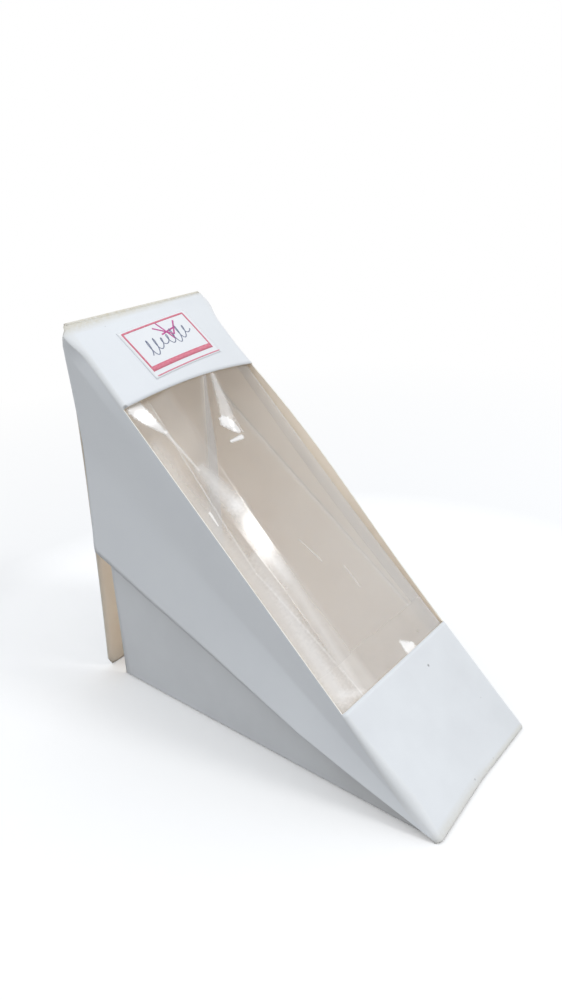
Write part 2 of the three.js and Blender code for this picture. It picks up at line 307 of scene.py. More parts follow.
def makePaperGrain():
    tree, start, end = groupTree("paperGrain", {
        "Place": (0, 0, 0), "Colour": (0.8, 0.8, 0.8, 1), "Patch Colour": (0.75, 0.75, 0.75, 1),
        "Worn Colour": (0.7, 0.6, 0.5, 1), "Patch Scale": 60.0, "Patch Amount": 0.5, "Fibre Scale": 1800.0,
        "Fibre Amount": 0.2, "Roughness": 0.5, "Wear": 0.0, "Soil": 0.0, "Soil Colour": (0.5, 0.5, 0.5, 1),
    }, {"Colour": "Color", "Roughness": "Float", "Height": "Float"})
    out = start.outputs
    cloud = noiseNode(tree, out["Place"], out["Patch Scale"], 4.0, 0.6)
    patches = rampRange(tree, cloud, paper["patchLow"], paper["patchHigh"])
    stretch = tree.nodes.new("ShaderNodeMapping")
    stretch.inputs["Scale"].default_value = paper["fibreStretch"]
    tree.links.new(out["Place"], stretch.inputs["Vector"])
    fibres = noiseNode(tree, stretch.outputs[0], out["Fibre Scale"], 4.0, 0.7)
    patchAmount = mathNode(tree, "MULTIPLY", patches, out["Patch Amount"])
    colour = mixColour(tree, patchAmount, out["Colour"], out["Patch Colour"])
    speckle = rampRange(tree, fibres, paper["fibreLow"], paper["fibreHigh"])
    speckle = mathNode(tree, "MULTIPLY", speckle, out["Fibre Amount"])
    colour = mixColour(tree, speckle, colour, out["Patch Colour"])
    # Painted shade: the surface darkens towards a grey-brown by the amount given, more in the cloudy patches
    cloudy = mathNode(tree, "MULTIPLY_ADD", patches, paper["patchyShade"], c=paper["evenShade"])
    shaded = mathNode(tree, "MULTIPLY", out["Soil"], cloudy, True)
    colour = mixColour(tree, shaded, colour, out["Soil Colour"])
    broken = noiseNode(tree, out["Place"], paper["wearScale"], 5.0, 0.7)
    broken = mathNode(tree, "MULTIPLY_ADD", broken, paper["wearGain"], c=paper["wearFloor"])
    worn = mathNode(tree, "MULTIPLY", out["Wear"], broken, True)
    tree.links.new(mixColour(tree, worn, colour, out["Worn Colour"]), end.inputs["Colour"])
    rough = mathNode(tree, "MULTIPLY_ADD", patches, paper["patchRoughness"], c=out["Roughness"])
    rough = mathNode(tree, "MULTIPLY_ADD", worn, paper["wornRoughness"], True, rough)
    tree.links.new(rough, end.inputs["Roughness"])
    height = mathNode(tree, "MULTIPLY_ADD", worn, paper["wornHeight"], c=fibres)
    tree.links.new(height, end.inputs["Height"])
    return tree


# A small ragged mark at a place on the surface
spotEdge = {"scale": 3000.0, "ragged": 0.5, "cover": 1.45}


def makeSpot():
    tree, start, end = groupTree("smallSpot", {
        "Place": (0, 0, 0), "Centre": (0, 0, 0), "Radius": 0.001, "Strength": 0.8,
    }, {"Mask": "Float"})
    out = start.outputs
    away = tree.nodes.new("ShaderNodeVectorMath")
    away.operation = "DISTANCE"
    tree.links.new(out["Place"], away.inputs[0])
    tree.links.new(out["Centre"], away.inputs[1])
    share = mathNode(tree, "DIVIDE", away.outputs["Value"], out["Radius"])
    ragged = noiseNode(tree, out["Place"], spotEdge["scale"])
    ragged = mathNode(tree, "MULTIPLY_ADD", ragged, spotEdge["ragged"], c=share)
    mask = mathNode(tree, "SUBTRACT", spotEdge["cover"], ragged, True)
    tree.links.new(mathNode(tree, "MULTIPLY", mask, out["Strength"], True), end.inputs["Mask"])
    return tree


paperGrain = makePaperGrain()
smallSpot = makeSpot()
speckAndShadeColour = srgb(96, 92, 92)


# Keys of a finish with a capital are inputs of paperGrain
def makeBoard(name, finish):
    material, nodes, links, shader = newMaterial(name)
    place = nodes.new("ShaderNodeTexCoord").outputs["Object"]
    values = {key: finish[key] for key in finish if key[0].isupper()}
    grain = addGroup(nodes, links, paperGrain, values, place)
    for socket, attributeName in finish.get("attributes", {}).items():
        attribute = nodes.new("ShaderNodeAttribute")
        attribute.attribute_name = attributeName
        links.new(attribute.outputs["Fac"], grain.inputs[socket])
    colour = grain.outputs["Colour"]
    for centre, radius, strength in finish.get("spots", []):
        values = {"Centre": scaled(frontPoint(*centre)), "Radius": radius * mm, "Strength": strength}
        spot = addGroup(nodes, links, smallSpot, values, place)
        colour = mixColour(material.node_tree, spot.outputs["Mask"], colour, speckAndShadeColour)
    links.new(colour, shader.inputs["Base Color"])
    links.new(grain.outputs["Roughness"], shader.inputs["Roughness"])
    raised = nodes.new("ShaderNodeBump")
    raised.inputs["Strength"].default_value = finish["bump"]
    raised.inputs["Distance"].default_value = paper["bumpDepth"]
    links.new(grain.outputs["Height"], raised.inputs["Height"])
    links.new(raised.outputs["Normal"], shader.inputs["Normal"])
    shader.inputs["Specular IOR Level"].default_value = finish["gloss"]
    return material


# Specks on the coated side, and a dark spot of painted shade in the notch at the window's top left corner:
# place (x, s, depth), radius, strength
specksAndNotchShade = [
    ((9.2, 140.4, -0.2), 0.45, 0.75), ((-15.5, 4.6, -0.4), 0.3, 0.35), ((19.0, 158.0, -0.2), 0.22, 0.3),
    # (-26.3, 30.6): painted shade, a dark spot in the notch at the window's top left corner
    ((-26.3, 30.6, 0.3), 0.7, 0.9), ((-3.0, 171.6, -0.2), 0.35, 0.5), ((8.0, 172.0, 0.0), 0.3, 0.4),
]
coatedBoard = makeBoard("coated_board", {
    "Colour": srgb(238, 242, 246), "Patch Colour": srgb(233, 237, 242), "Worn Colour": srgb(212, 205, 186),
    "Patch Scale": 45.0, "Patch Amount": 0.6, "Fibre Scale": 1500.0, "Fibre Amount": 0.25,
    # The grey-brown second colour is painted shade, laid on by the carton's shade attribute
    "Soil Colour": srgb(146, 141, 132), "Roughness": 0.42, "bump": 0.25, "gloss": 0.35,
    "attributes": {"Wear": "foldWear", "Soil": "soil"}, "spots": specksAndNotchShade,
})
plainBoard = makeBoard("plain_board", {
    "Colour": srgb(253, 242, 226), "Patch Colour": srgb(246, 232, 214), "Worn Colour": srgb(198, 182, 164),
    "Patch Scale": 70.0, "Patch Amount": 0.7, "Fibre Scale": 900.0, "Fibre Amount": 0.6,
    "Roughness": 0.78, "bump": 0.6, "gloss": 0.2,
})
cutBoard = makeBoard("board_cut_edge", {
    "Colour": srgb(248, 246, 240), "Patch Colour": srgb(236, 230, 218), "Worn Colour": srgb(198, 182, 164),
    "Patch Scale": 600.0, "Patch Amount": 0.8, "Fibre Scale": 4000.0, "Fibre Amount": 0.5,
    "Roughness": 0.8, "bump": 0.8, "gloss": 0.15,
})
print("materials of the board made")


# The carton, one folded sheet: down the front, round the tip crease and back along the base
carton = {
    "tipSkew": 1.7, "skewReach": 24, "startDrop": 0.8, "creaseReach": 0.97, "leastFlap": 0.9, "notch": 0.12,
    "upperRows": 24, "windowRows": 60, "lowerRows": 30, "creaseRows": 8, "baseRows": 42,
    "foldBefore": 4, "foldAfter": 5, "flapColumns": 26, "panelColumns": 40,
    "cutShare": 0.5, "bendShare": 0.8, "leastRun": 1.05, "rippleStart": 2, "rippleRun": 9,
    "topWearLeft": 3.6, "topWearRight": 1.0, "topWearFrom": 1.3, "sideWear": 0.12,
    "tipWearLeft": 2.2, "tipWearRight": 0.5, "tipWearFrom": 1.2, "tipWear": 0.5,
    # Painted shade: how dark the front gets low down and at its upper right, and the inner flaps towards the
    # tip
    "soil": 0.12, "shadeAbove": 30, "shadeRun": 40, "shadeLeft": 0.7, "shadeRightMore": 0.5,
    "upperShade": 0.6, "sideShade": 0.25, "innerShade": 0.8,
    "innerFade": 1.2, "innerFadeRun": 90, "tipShade": 2, "tipShadeRun": 42,
}
sideCount = carton["foldBefore"] + carton["foldAfter"] + carton["flapColumns"]
foldStart = carton["flapColumns"]


def foldTurn(radius, depth):
    return math.acos(clamp(1 - depth / radius, -1, 1))


# One row of points from the panel's edge round the side fold and along the flap
def rowSide(row, side):
    radius = row["radius"](side)
    quarter = radius * math.pi / 2
    reach = row["reach"]
    whole = radius * foldTurn(radius, reach) if reach < radius else quarter + reach - radius
    cutDepth = min(pack["windowEdgeDepth"], reach * carton["cutShare"])
    cutLength = radius * foldTurn(radius, cutDepth)
    bend = max(min(quarter, carton["bendShare"] * whole), cutLength * carton["leastRun"])
    lengths = spaced(0, cutLength, carton["foldBefore"])[1:]
    lengths += spaced(cutLength, bend, carton["foldAfter"])[1:]
    lengths += spaced(bend, max(whole, bend * carton["leastRun"]), carton["flapColumns"])[1:]
    points = []
    for length in lengths:
        turn = min(length / radius, math.pi / 2)
        depth = radius * (1 - math.cos(turn)) + max(length - quarter, 0)
        out = row["half"] - radius + radius * math.sin(turn) + row["spread"](side, depth) * math.sin(turn)
        place = row["at"](side * out, depth)
        ripple = boardRipple(place, pack["rippleScale"])
        place.x += side * ripple * clamp((depth - carton["rippleStart"]) / carton["rippleRun"])
        points.append(place)
    return points


def rowMiddle(row):
    points = []
    for x in spaced(row["radius"](-1) - row["half"], row["half"] - row["radius"](1), carton["panelColumns"]):
        if row["zone"] == "upper":
            s = lerp(carton["startDrop"], windowTop(x), row["share"])
            points.append(frontPoint(x, s, -frontBow(x, s)))
        elif row["zone"] in ("window", "lower"):
            points.append(row["at"](x, -frontBow(x, row["s"])))
        else:
            points.append(row["at"](x, 0))
    return points


def frontRow(zone, s, share=0.0):
    return {
        "zone": zone, "share": share, "s": s, "half": halfWidth, "reach": outerReach(s),
        "radius": lambda side: sideFold(s, side),
        "at": lambda x, depth: frontPoint(x, s, depth),
        "spread": lambda side, depth: flapSpread(side, s, depth),
    }


def creaseRow(turn):
    angle = lerp(outwardAngle, 1.5 * math.pi, turn)
    return {
        "zone": "crease", "s": slopeLength, "half": lerp(halfWidth, baseHalf, turn),
        "reach": carton["creaseReach"] * pack["tipCrease"],
        "radius": lambda side: lerp(sideFold(slopeLength, side), pack["baseFold"], turn),
        "at": lambda x, depth: Vector((
            x, tipCentre.x + math.cos(angle) * (pack["tipCrease"] - depth),
            tipCentre.y + math.sin(angle) * (pack["tipCrease"] - depth))),
        "spread": lambda side, depth: 0.0,
    }


def baseRow(y, reach):
    return {
        "zone": "base", "s": 0, "half": baseHalf, "reach": reach,
        "radius": lambda side: pack["baseFold"],
        "at": lambda x, depth: Vector((x, y, pack["board"] / 2 + depth)),
        "spread": lambda side, depth: 0.0,
    }


def cartonRows():
    rows = []
    for share in spaced(0, 1, carton["upperRows"]):
        rows.append(frontRow("upper", lerp(carton["startDrop"], pack["windowDrop"], share), share))
    for share in spaced(0, 1, carton["windowRows"])[1:]:
        rows.append(frontRow("window", lerp(pack["windowDrop"], windowEnd, share)))
    for share in spaced(0, 1, carton["lowerRows"])[1:]:
        rows.append(frontRow("lower", lerp(windowEnd, slopeLength, share)))
    for turn in spaced(0, 1, carton["creaseRows"])[1:]:
        rows.append(creaseRow(turn))
    flapBack = backEdgeY - pack["innerSetback"]
    places = spaced(tipCentre.x + pack["innerTipDrop"], flapBack, carton["baseRows"])
    for y in places + [flapBack + carton["notch"], backEdgeY]:
        top = pack["innerHeight"] * (y - tipY) / pack["depth"] - pack["innerTipDrop"]
        rows.append(baseRow(y, max(top, carton["leastFlap"]) if y <= flapBack else pack["board"]))
    return rows


# Wear along the top crease and the tip, and faintly in the side folds
def foldWear(row, across, inFold):
    wear = [0]
    if row["zone"] == "upper":
        band = lerp(carton["topWearLeft"], carton["topWearRight"], across)
        wear.append(clamp(carton["topWearFrom"] - row["s"] / band))
    if row["zone"] in ("lower", "crease"):
        band = lerp(carton["tipWearLeft"], carton["tipWearRight"], across)
        wear.append(clamp(carton["tipWearFrom"] - (slopeLength - row["s"]) / band) * carton["tipWear"])
    if row["zone"] in ("upper", "lower") and inFold:
        wear.append(carton["sideWear"])
    return max(wear)


# Painted shade: darker low on the front and at its upper right, and on the inner flaps, darkest towards the
# tip where the outer flaps shade them
def paintedBoardShade(row, across, run, onSide):
    if row["zone"] == "base":
        inner = carton["innerFade"] * clamp(1 - run / carton["innerFadeRun"]) ** 1.2 + carton["innerShade"]
        return carton["soil"] * (inner + carton["tipShade"] * clamp(1 - run / carton["tipShadeRun"]))
    low = smooth((row["s"] - windowEnd + carton["shadeAbove"]) / carton["shadeRun"])
    low *= carton["shadeLeft"] + carton["shadeRightMore"] * across
    upper = carton["upperShade"] * smooth(across) if row["zone"] == "upper" else 0
    return carton["soil"] * max(low, upper) * (carton["sideShade"] if onSide else 1)


def buildCarton():
    rows = cartonRows()
    points = []
    wear = []
    soil = []
    for row in rows:
        line = rowSide(row, -1)[::-1] + rowMiddle(row) + rowSide(row, 1)
        for index, point in enumerate(line):
            fromEdge = min(index, len(line) - 1 - index)
            onSide = fromEdge < sideCount
            across = clamp((point.x + halfWidth) / pack["width"])
            wear.append(foldWear(row, across, onSide and fromEdge >= foldStart))
            # Painted shade for this point
            soil.append(paintedBoardShade(row, across, point.y - tipY, onSide))
            lean = smooth(1 - (point.y - tipY) / carton["skewReach"]) * clamp(-point.x / halfWidth)
            points.append(point - Vector((0, carton["tipSkew"] * lean, 0)))
    columnCount = len(line)
    cutLeft = sideCount - carton["foldBefore"]
    cutRight = columnCount - 1 - cutLeft
    firstWindow = carton["upperRows"]
    lastWindow = firstWindow + carton["windowRows"]

    def inWindow(i, j):
        return firstWindow <= i < lastWindow and cutLeft <= j < cutRight

    faces = gridFaces(len(rows), columnCount, inWindow)
    used = sorted({i for face in faces for i in face})
    renumber = {old: new for new, old in enumerate(used)}
    faces = [[renumber[i] for i in face] for face in faces]
    kept = [points[i] for i in used]
    return thicken("carton_board", kept, faces, pack["board"], {
        "foldWear": [wear[i] for i in used], "soil": [soil[i] for i in used],
    })


def addBoardMaterials(piece):
    for material in (coatedBoard, plainBoard, cutBoard):
        piece.data.materials.append(material)


cartonBoard = buildCarton()
addBoardMaterials(cartonBoard)
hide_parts("carton")
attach(cartonBoard, "carton")
print("carton made")


# The back lid hangs from the top crease, ajar at the foot and faintly curled
lid = {
    "swing": math.radians(3.67), "hingeGap": 0.8, "bow": 1.0, "curl": 0.25, "floorGap": 0.25,
    "cornerCut": 1.5, "cutLength": 3, "rows": 60, "cutRows": 4, "columns": 24,
    "rippleScale": 34, "rippleStart": 4, "rippleRun": 20, "wear": 0.8, "wearFrom": 1.3, "wearBand": 1.6,
}
hinge = Vector((pack["depth"] / 2 + pack["board"] / 2, topCrease.y))
lidLength = (hinge.y - lid["floorGap"]) / math.cos(lid["swing"])


def lidPoint(x, along):
    across = x / halfWidth
    bow = -lid["bow"] * math.sin(math.pi * along / lidLength)
    bow += lid["curl"] * (across ** 2 - 1) * math.sin(math.pi * along / lidLength)
    y = hinge.x + along * math.sin(lid["swing"]) + bow * math.cos(lid["swing"])
    z = hinge.y - along * math.cos(lid["swing"]) + bow * math.sin(lid["swing"])
    return Vector((x, y, z))


def buildLid():
    cutStart = lidLength - lid["cutLength"]
    places = spaced(lid["hingeGap"], cutStart, lid["rows"])
    places += spaced(cutStart, lidLength, lid["cutRows"])[1:]
    points = []
    wear = []
    for along in places:
        half = halfWidth - lid["cornerCut"] * max(along - cutStart, 0) / lid["cutLength"]
        for x in spaced(half, -half, lid["columns"]):
            place = lidPoint(x, along)
            ripple = boardRipple(place, lid["rippleScale"])
            place.y += ripple * clamp((along - lid["rippleStart"]) / lid["rippleRun"])
            points.append(place)
            wear.append(clamp(lid["wearFrom"] - along / lid["wearBand"]) * lid["wear"])
    faces = gridFaces(len(places), lid["columns"] + 1)
    return thicken("lid_board", points, faces, pack["board"], {"foldWear": wear})


lidBoard = buildLid()
addBoardMaterials(lidBoard)
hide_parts("back_lid")
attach(lidBoard, "lid")
print("lid made")


# The crease that the lid swings on, bending between the two
crease = {"steps": 10, "columns": 30, "reach": 0.85, "rise": 0.28, "inset": 0.05, "wear": 0.95}


def buildCrease():
    points = []
    frontEnd = topCrease + downSlope * crease["reach"]
    lidEnd = lidPoint(0, crease["reach"]).yz
    crown = Vector((hinge.x - crease["inset"], hinge.y + crease["rise"]))
    for share in spaced(0, 1, crease["steps"]):
        place = frontEnd * (1 - share) ** 2 + crown * 2 * share * (1 - share) + lidEnd * share ** 2
        for x in spaced(-halfWidth, halfWidth, crease["columns"]):
            points.append(Vector((x, place.x, place.y)))
    faces = [face[::-1] for face in gridFaces(crease["steps"] + 1, crease["columns"] + 1)]
    wear = [crease["wear"]] * len(points)
    return thicken("top_crease", points, faces, pack["board"], {"foldWear": wear})


topCreaseBoard = buildCrease()
addBoardMaterials(topCreaseBoard)
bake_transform(topCreaseBoard)
print("crease made")


# The film, a thin clear sheet with two creases along the left, a tight roll on the right and small puckers
film = {
    "thickness": 0.1, "clearance": 0.12, "tuck": 8, "strip": 4.0, "stripColumns": 8,
    "rows": 200, "crown": 90, "shoulder": 16, "sag": 0.3, "endDrop": 1.5, "creaseHalf": 0.12,
    "creaseX": -11.2, "secondCreaseX": -17.6, "sideTilt": 29.0, "edgeCurl": 0.15, "edgePower": 4,
    "rightWidth": 2.6, "rightDrop": 2.9, "rightLean": 0.15, "leanPower": 6, "rollPower": 2.2,
    "glintTilt": 15.0, "glintPlace": 76.5, "tiltRate": 0.5, "leastTilt": 5.0, "mostTilt": 24.0,
    "upperSettle": 3, "lowerSettle": 12,
    "ripple": 0.07, "rippleAcross": 7, "rippleDown": 24, "rippleSeed": 0.3,
}
# A slanted pucker below the window's upper edge; its folds are (shift across, reach, height)
pucker = {
    "startX": 9.2, "startS": 30, "slant": 0.27, "middle": 44, "reach": 9,
    "folds": [(-1.2, 1.5, 0.55), (0.9, 1.3, -0.4)],
}
# Dents: middle (x, s), reach (x, s), depth
dents = [((1.2, 50.5), (2.2, 1.6), 0.35), ((9.5, windowEnd - 1.5), (3.5, 3), 0.5)]
filmLayer = pack["board"] / 2 + film["clearance"] + film["thickness"] / 2
filmHalf = halfWidth - filmLayer


# Fall of the film left of its first crease: two flat facets that end on the side flap
def facetFall(x, s, depth, ajar):
    tilt = film["glintTilt"] + (film["glintPlace"] - s) * film["tiltRate"]
    slope = math.tan(math.radians(clamp(tilt, film["leastTilt"], film["mostTilt"])))
    firstWidth = film["creaseX"] - film["secondCreaseX"]
    secondWidth = filmHalf + film["secondCreaseX"]
    atEnd = film["endDrop"] - depth - slope * firstWidth
    settled = clamp(ajar * film["upperSettle" if s < film["glintPlace"] else "lowerSettle"])
    fall = lerp(atEnd, secondWidth * math.tan(math.radians(film["sideTilt"])), settled)
    share = clamp((film["secondCreaseX"] - x) / secondWidth)
    curled = lerp(share, share ** film["edgePower"], film["edgeCurl"])
    return slope * clamp(film["creaseX"] - x, 0, firstWidth) + fall * curled


# How far the film lies below the flat front plane
def filmDepth(x, s):
    ajar = math.sin(math.pi * clamp((s - pack["windowDrop"]) / pack["windowLength"]))
    taut = max(x, film["creaseX"])
    across = clamp(taut / filmHalf, -1, 1)
    depth = -frontBow(taut, s) + film["sag"] * ajar * math.cos(math.pi * across / 2)
    if x < film["creaseX"]:
        depth += facetFall(x, s, depth, ajar)
    elif x > 0:
        lean = clamp(x / filmHalf) ** film["leanPower"]
        roll = clamp(1 - (filmHalf - x) / film["rightWidth"]) ** film["rollPower"]
        depth += lerp(film["endDrop"], film["rightDrop"], ajar) * lerp(roll, lean, film["rightLean"])
    line = pucker["startX"] - (s - pucker["startS"]) * pucker["slant"]
    for shift, reach, height in pucker["folds"]:
        depth -= height * bump(x - line, shift, reach) * bump(s, pucker["middle"], pucker["reach"])
    for (middleX, middleS), (reachX, reachS), fall in dents:
        depth += fall * bump(x, middleX, reachX) * bump(s, middleS, reachS)
    ripple = noise.noise(Vector((x / film["rippleAcross"], s / film["rippleDown"], film["rippleSeed"])))
    return depth - film["ripple"] * ripple * ajar


def buildFilm():
    half = filmHalf
    rollStart = half - film["rightWidth"]
    creases = []
    for key in ("creaseX", "secondCreaseX"):
        creases += [film[key] + shift for shift in (-film["creaseHalf"], 0, film["creaseHalf"])]
    across = sorted(spaced(-half, rollStart, film["crown"]) + creases)
    for turn in spaced(0, math.pi / 2, film["shoulder"])[1:]:
        across.append(rollStart + film["rightWidth"] * math.sin(turn))
    strip = spaced(film["strip"], 0, film["stripColumns"])[:-1]
    points = []
    places = []
    for s in spaced(pack["windowDrop"] - film["tuck"], windowEnd + film["tuck"], film["rows"]):
        line = [(-half, filmDepth(-half, s) + depth) for depth in strip]
        line += [(x, filmDepth(x, s)) for x in across]
        line += [(half, filmDepth(half, s) + depth) for depth in strip[::-1]]
        points += [frontPoint(x, s, filmLayer + depth) for x, depth in line]
        places += [(x - math.copysign(depth, x) * (abs(x) == half), s) for x, depth in line]
    piece = thicken("window_sheet", points, gridFaces(film["rows"] + 1, len(line)), film["thickness"])
    uvLayer = piece.data.uv_layers.new(name="place")
    for loop in piece.data.loops:
        uvLayer.data[loop.index].uv = places[loop.vertex_index % len(places)]
    return piece


# A tapering streak between two places of the film, in millimetres: creases, painted glints and scratches
streakEdge = {"scale": 1.1, "middle": 0.5}


def makeStreak():
    tree, start, end = groupTree("filmStreak", {
        "Place": (0, 0, 0), "Start": (0, 0, 0), "End": (0, 1, 0), "Start Width": 1.0, "End Width": 1.0,
        "Softness": 0.5, "Strength": 0.5,
    }, {"Mask": "Float"})
    out = start.outputs

    def vectorNode(operation, a, b):
        node = tree.nodes.new("ShaderNodeVectorMath")
        node.operation = operation
        tree.links.new(a, node.inputs[0])
        tree.links.new(b, node.inputs[1])
        return node.outputs["Value" if operation in ("DOT_PRODUCT", "DISTANCE") else "Vector"]

    run = vectorNode("SUBTRACT", out["End"], out["Start"])
    away = vectorNode("SUBTRACT", out["Place"], out["Start"])
    along = vectorNode("DOT_PRODUCT", away, run)
    share = mathNode(tree, "DIVIDE", along, vectorNode("DOT_PRODUCT", run, run), True)
    foot = tree.nodes.new("ShaderNodeVectorMath")
    foot.operation = "SCALE"
    tree.links.new(run, foot.inputs[0])
    tree.links.new(share, foot.inputs["Scale"])
    distance = vectorNode("DISTANCE", away, foot.outputs["Vector"])
    growth = mathNode(tree, "SUBTRACT", out["End Width"], out["Start Width"])
    width = mathNode(tree, "MULTIPLY_ADD", share, growth, c=out["Start Width"])
    uneven = noiseNode(tree, out["Place"], streakEdge["scale"])
    uneven = mathNode(tree, "SUBTRACT", uneven, streakEdge["middle"])
    edge = mathNode(tree, "MULTIPLY_ADD", uneven, width, c=width)
    inside = mathNode(tree, "SUBTRACT", edge, distance)
    mask = mathNode(tree, "ADD", mathNode(tree, "DIVIDE", inside, out["Softness"]), 0.5, True)
    tree.links.new(mathNode(tree, "MULTIPLY", mask, out["Strength"], True), end.inputs["Mask"])
    return tree


# Streaks: start (x, s), end (x, s), start width, end width, softness, strength. Many are painted highlights
# where the film's top left corner, pucker and foot would catch the key light, and a painted sheen round the
# main highlight; the rest are crease lines, milky bands and scratches
streaksAndPaintedGlints = [
    ((-22.6, 31.4), (-18.5, 41.5), 2.6, 0.35, 0.7, 0.75),
    ((-18.5, 41.5), (-16.6, 56.0), 0.35, 0.15, 0.6, 0.4),
    ((-17.6, 31.0), (-18.6, 60.0), 0.10, 0.10, 0.5, 0.22),
    ((-18.6, 60.0), (-20.8, 90.0), 0.14, 0.10, 0.5, 0.25),
    ((-20.8, 90.0), (-17.0, 134.6), 0.10, 0.16, 0.6, 0.25),
    ((-20.9, 68.2), (-21.1, 72.6), 0.30, 0.12, 0.3, 0.9),
    ((7.4, 31.0), (1.6, 46.5), 0.7, 2.2, 1.2, 0.30),
    ((0.2, 46.6), (2.6, 50.4), 1.9, 1.0, 0.7, 0.72),
    ((4.2, 46.5), (4.3, 51.6), 0.12, 0.20, 0.3, 0.35),
    ((-2.2, 52.9), (2.4, 53.0), 0.35, 0.75, 0.4, 0.75),
    ((-15.9, 56.0), (-13.8, 70.0), 0.8, 2.0, 3.0, 0.34),
    ((-13.6, 71.0), (-14.8, 96.0), 2.2, 0.8, 3.0, 0.20),
    ((-13.2, 91.0), (-17.0, 132.0), 1.4, 0.9, 2.0, 0.12),
    ((-18.2, 86.0), (-22.6, 131.0), 1.3, 1.6, 1.6, 0.14),
    ((-23.4, 44.0), (-22.6, 130.0), 1.6, 3.4, 3.4, 0.22),
    ((-2.1, 88.5), (0.3, 97.4), 0.06, 0.12, 0.4, 0.28),
    ((6.4, 102.3), (6.6, 110.1), 0.08, 0.08, 0.4, 0.20),
    ((6.5, 130.2), (8.0, 133.4), 0.5, 2.6, 0.8, 0.70),
    ((-21.6, 130.0), (-16.6, 134.0), 0.8, 1.2, 1.2, 0.18),
    ((24.6, 36.0), (24.3, 62.0), 0.25, 0.25, 0.8, 0.12),
]


# Ramps across and down the film are (from, to, amount)
filmLook = {
    "colour": srgb(250, 248, 246), "IOR": 2.0, "gloss": 0.9, "roughness": 0.15, "leastAlpha": 0.05,
    "hazeScale": 55.0, "hazeAlpha": 0.035, "hazeRoughness": 0.08, "scuffScale": 420.0, "scuffAlpha": 0.03,
    "edgeBlend": 0.22, "edgeAlpha": 0.2, "lowerAlpha": (36.0, 110.0, 0.18), "leftAlpha": (-10.0, -12.5, 0.08),
    "lowEndRoughness": (122.0, 129.0, 0.45),
}


def makeFilmMaterial():
    material, nodes, links, shader = newMaterial("clear_film")
    tree = material.node_tree

    def faded(value, low, high, amount):
        return mathNode(tree, "MULTIPLY", rampRange(tree, value, low, high), amount)

    place = nodes.new("ShaderNodeTexCoord").outputs["Object"]
    sheetPlace = nodes.new("ShaderNodeUVMap")
    sheetPlace.uv_map = "place"
    onSheet = nodes.new("ShaderNodeSeparateXYZ")
    links.new(sheetPlace.outputs["UV"], onSheet.inputs["Vector"])
    haze = rampRange(tree, noiseNode(tree, place, filmLook["hazeScale"], 4.0, 0.6), 0.3, 0.75)
    scuffs = noiseNode(tree, place, filmLook["scuffScale"], 5.0, 0.75)
    # Painted sheen: the film is whiter where it is seen at a slant, in place of its stronger reflection there
    facing = nodes.new("ShaderNodeLayerWeight")
    facing.inputs["Blend"].default_value = filmLook["edgeBlend"]
    grazing = facing.outputs["Facing"]
    alpha = mathNode(tree, "MULTIPLY_ADD", grazing, filmLook["edgeAlpha"], c=filmLook["leastAlpha"])
    parts = [
        faded(onSheet.outputs["Y"], *filmLook["lowerAlpha"]),
        faded(onSheet.outputs["X"], *filmLook["leftAlpha"]),
        mathNode(tree, "MULTIPLY", haze, filmLook["hazeAlpha"]),
        faded(scuffs, 0.68, 0.78, filmLook["scuffAlpha"]),
    ]
    # White patches of the film where the streaks are strong: painted highlights as well as creases and
    # scratches
    for start, finish, *edge in streaksAndPaintedGlints:
        values = {"Start": (*start, 0), "End": (*finish, 0)}
        values.update(zip(("Start Width", "End Width", "Softness", "Strength"), edge))
        mark = addGroup(nodes, links, filmStreak, values, sheetPlace.outputs["UV"])
        parts.append(mark.outputs["Mask"])
    for part in parts:
        alpha = mathNode(tree, "ADD", alpha, part, True)
    links.new(alpha, shader.inputs["Alpha"])
    lowEnd = faded(onSheet.outputs["Y"], *filmLook["lowEndRoughness"])
    roughness = mathNode(tree, "MULTIPLY_ADD", haze, filmLook["hazeRoughness"], c=filmLook["roughness"])
    links.new(mathNode(tree, "ADD", roughness, lowEnd), shader.inputs["Roughness"])
    shader.inputs["Base Color"].default_value = filmLook["colour"]
    shader.inputs["IOR"].default_value = filmLook["IOR"]
    shader.inputs["Specular IOR Level"].default_value = filmLook["gloss"]
    return material


filmStreak = makeStreak()
filmSheet = buildFilm()
filmSheet.data.materials.append(makeFilmMaterial())
for face in filmSheet.data.polygons:
    face.material_index = 0
    face.use_smooth = True
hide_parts("window_film")
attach(filmSheet, "carton")
print("film made")


# The label, with its printed frame and a plain pen scribble where a price would be written
label = {
    "width": 29.6, "length": 18.6, "thickness": 0.1, "clearance": 0.05, "drop": 16.3, "offset": 1.3,
    "turn": math.radians(4.5), "columns": 40, "rows": 26,
}
ink = {
    "height": 0.012, "frameWidth": 26.4, "frameLength": 14.2, "frameShift": (-0.2, -1.15),
    "line": 0.66, "bar": 1.75, "barMore": 0.3, "underline": 0.38, "underlineGap": 2.6, "underlineMore": 0.2,
    "gap": 0.02, "step": 0.4, "unevenScale": 1400.0, "roughness": 0.45, "unevenRoughness": 0.2, "gloss": 0.3,
}
# The loop scribble, in millimetres on the label, and the crossing strokes over it
scribble = {
    "width": 0.32, "steps": 150, "turnStep": 0.3, "startX": -9.6, "startY": -0.3, "advance": 0.132,
    "climb": 0.015, "loopWidth": 0.9, "loopHeight": 2.2, "heightSwing": 0.9, "swingRate": 0.23,
    "swingStart": 0.6, "lean": 0.5,
}
strikes = {
    "width": 0.56,
    "strokes": [
        [(-2.4, -6.6), (3.4, -2.2), (7.2, -6.9)], [(0.2, -8.0), (2.4, -0.4)], [(-1.0, -3.4), (6.0, -4.6)],
    ],
}


def labelPoint(across, down, lift):
    x = label["offset"] + across * math.cos(label["turn"]) + down * math.sin(label["turn"])
    s = label["drop"] - across * math.sin(label["turn"]) + down * math.cos(label["turn"])
    return frontPoint(x, s, -(pack["board"] / 2 + label["clearance"] + lift) - frontBow(x, s))


